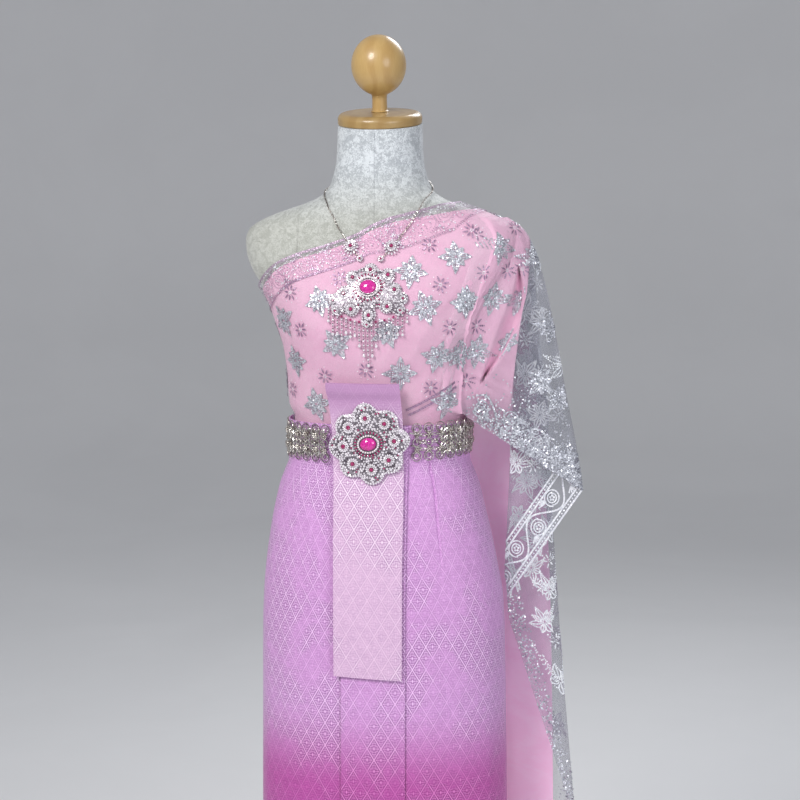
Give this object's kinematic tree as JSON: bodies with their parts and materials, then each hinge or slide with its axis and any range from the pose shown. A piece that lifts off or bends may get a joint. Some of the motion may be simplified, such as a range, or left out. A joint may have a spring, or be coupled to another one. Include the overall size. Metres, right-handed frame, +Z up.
{
  "type": "chut thai dress on a limbless dress form and stand",
  "caption": "Thai formal dress: brocade tube skirt with front pleat, draped embroidered shoulder cloth, chain belt and necklace, on a dress form with a floor stand.",
  "frame": {"origin": "centre of the stand's flat underside, on the floor", "axes": "+Z up, the dress faces -Y, +X is the wearer's left, where the shoulder cloth hangs"},
  "size_m": [0.4737, 0.33, 1.5701],
  "materials": {
    "form_velvet": "crushed velvet",
    "wood": "clear lacquer",
    "steel": "satin",
    "pink_satin": "soft satin",
    "silver_tulle": "sheer net with silver embroidery",
    "brocade": "silk brocade, shaded from lilac down to magenta",
    "sash_brocade": "silk brocade",
    "belt_silver": "polished silver tone",
    "rhinestone": "set with clear stones",
    "ruby": "polished cabochon"
  },
  "bodies": {
    "root": {"form_body": "form_velvet", "neck_cap": "wood", "neck_ball": "wood", "stand_base": "steel", "stand_socket": "steel", "stand_pole": "steel", "bodice_front": "pink_satin", "bodice_back": "pink_satin", "shoulder_cloth_front": "silver_tulle", "shoulder_cloth_back": "silver_tulle", "shoulder_drape": "silver_tulle", "tail_lining": "pink_satin", "skirt_right_front": "brocade", "skirt_left_front": "brocade", "skirt_back": "brocade", "front_pleat": "brocade", "sash_panel": "sash_brocade", "belt_band": "belt_silver", "belt_hook_upper": "belt_silver", "belt_hook_lower": "belt_silver", "buckle_plate": "rhinestone", "buckle_setting": "rhinestone", "buckle_stone": "ruby", "necklace_chain": "belt_silver", "necklace_motif_left": "rhinestone", "necklace_motif_right": "rhinestone", "pendant_plate": "rhinestone", "pendant_setting": "rhinestone", "pendant_stone": "ruby"}
  },
  "joints": []
}
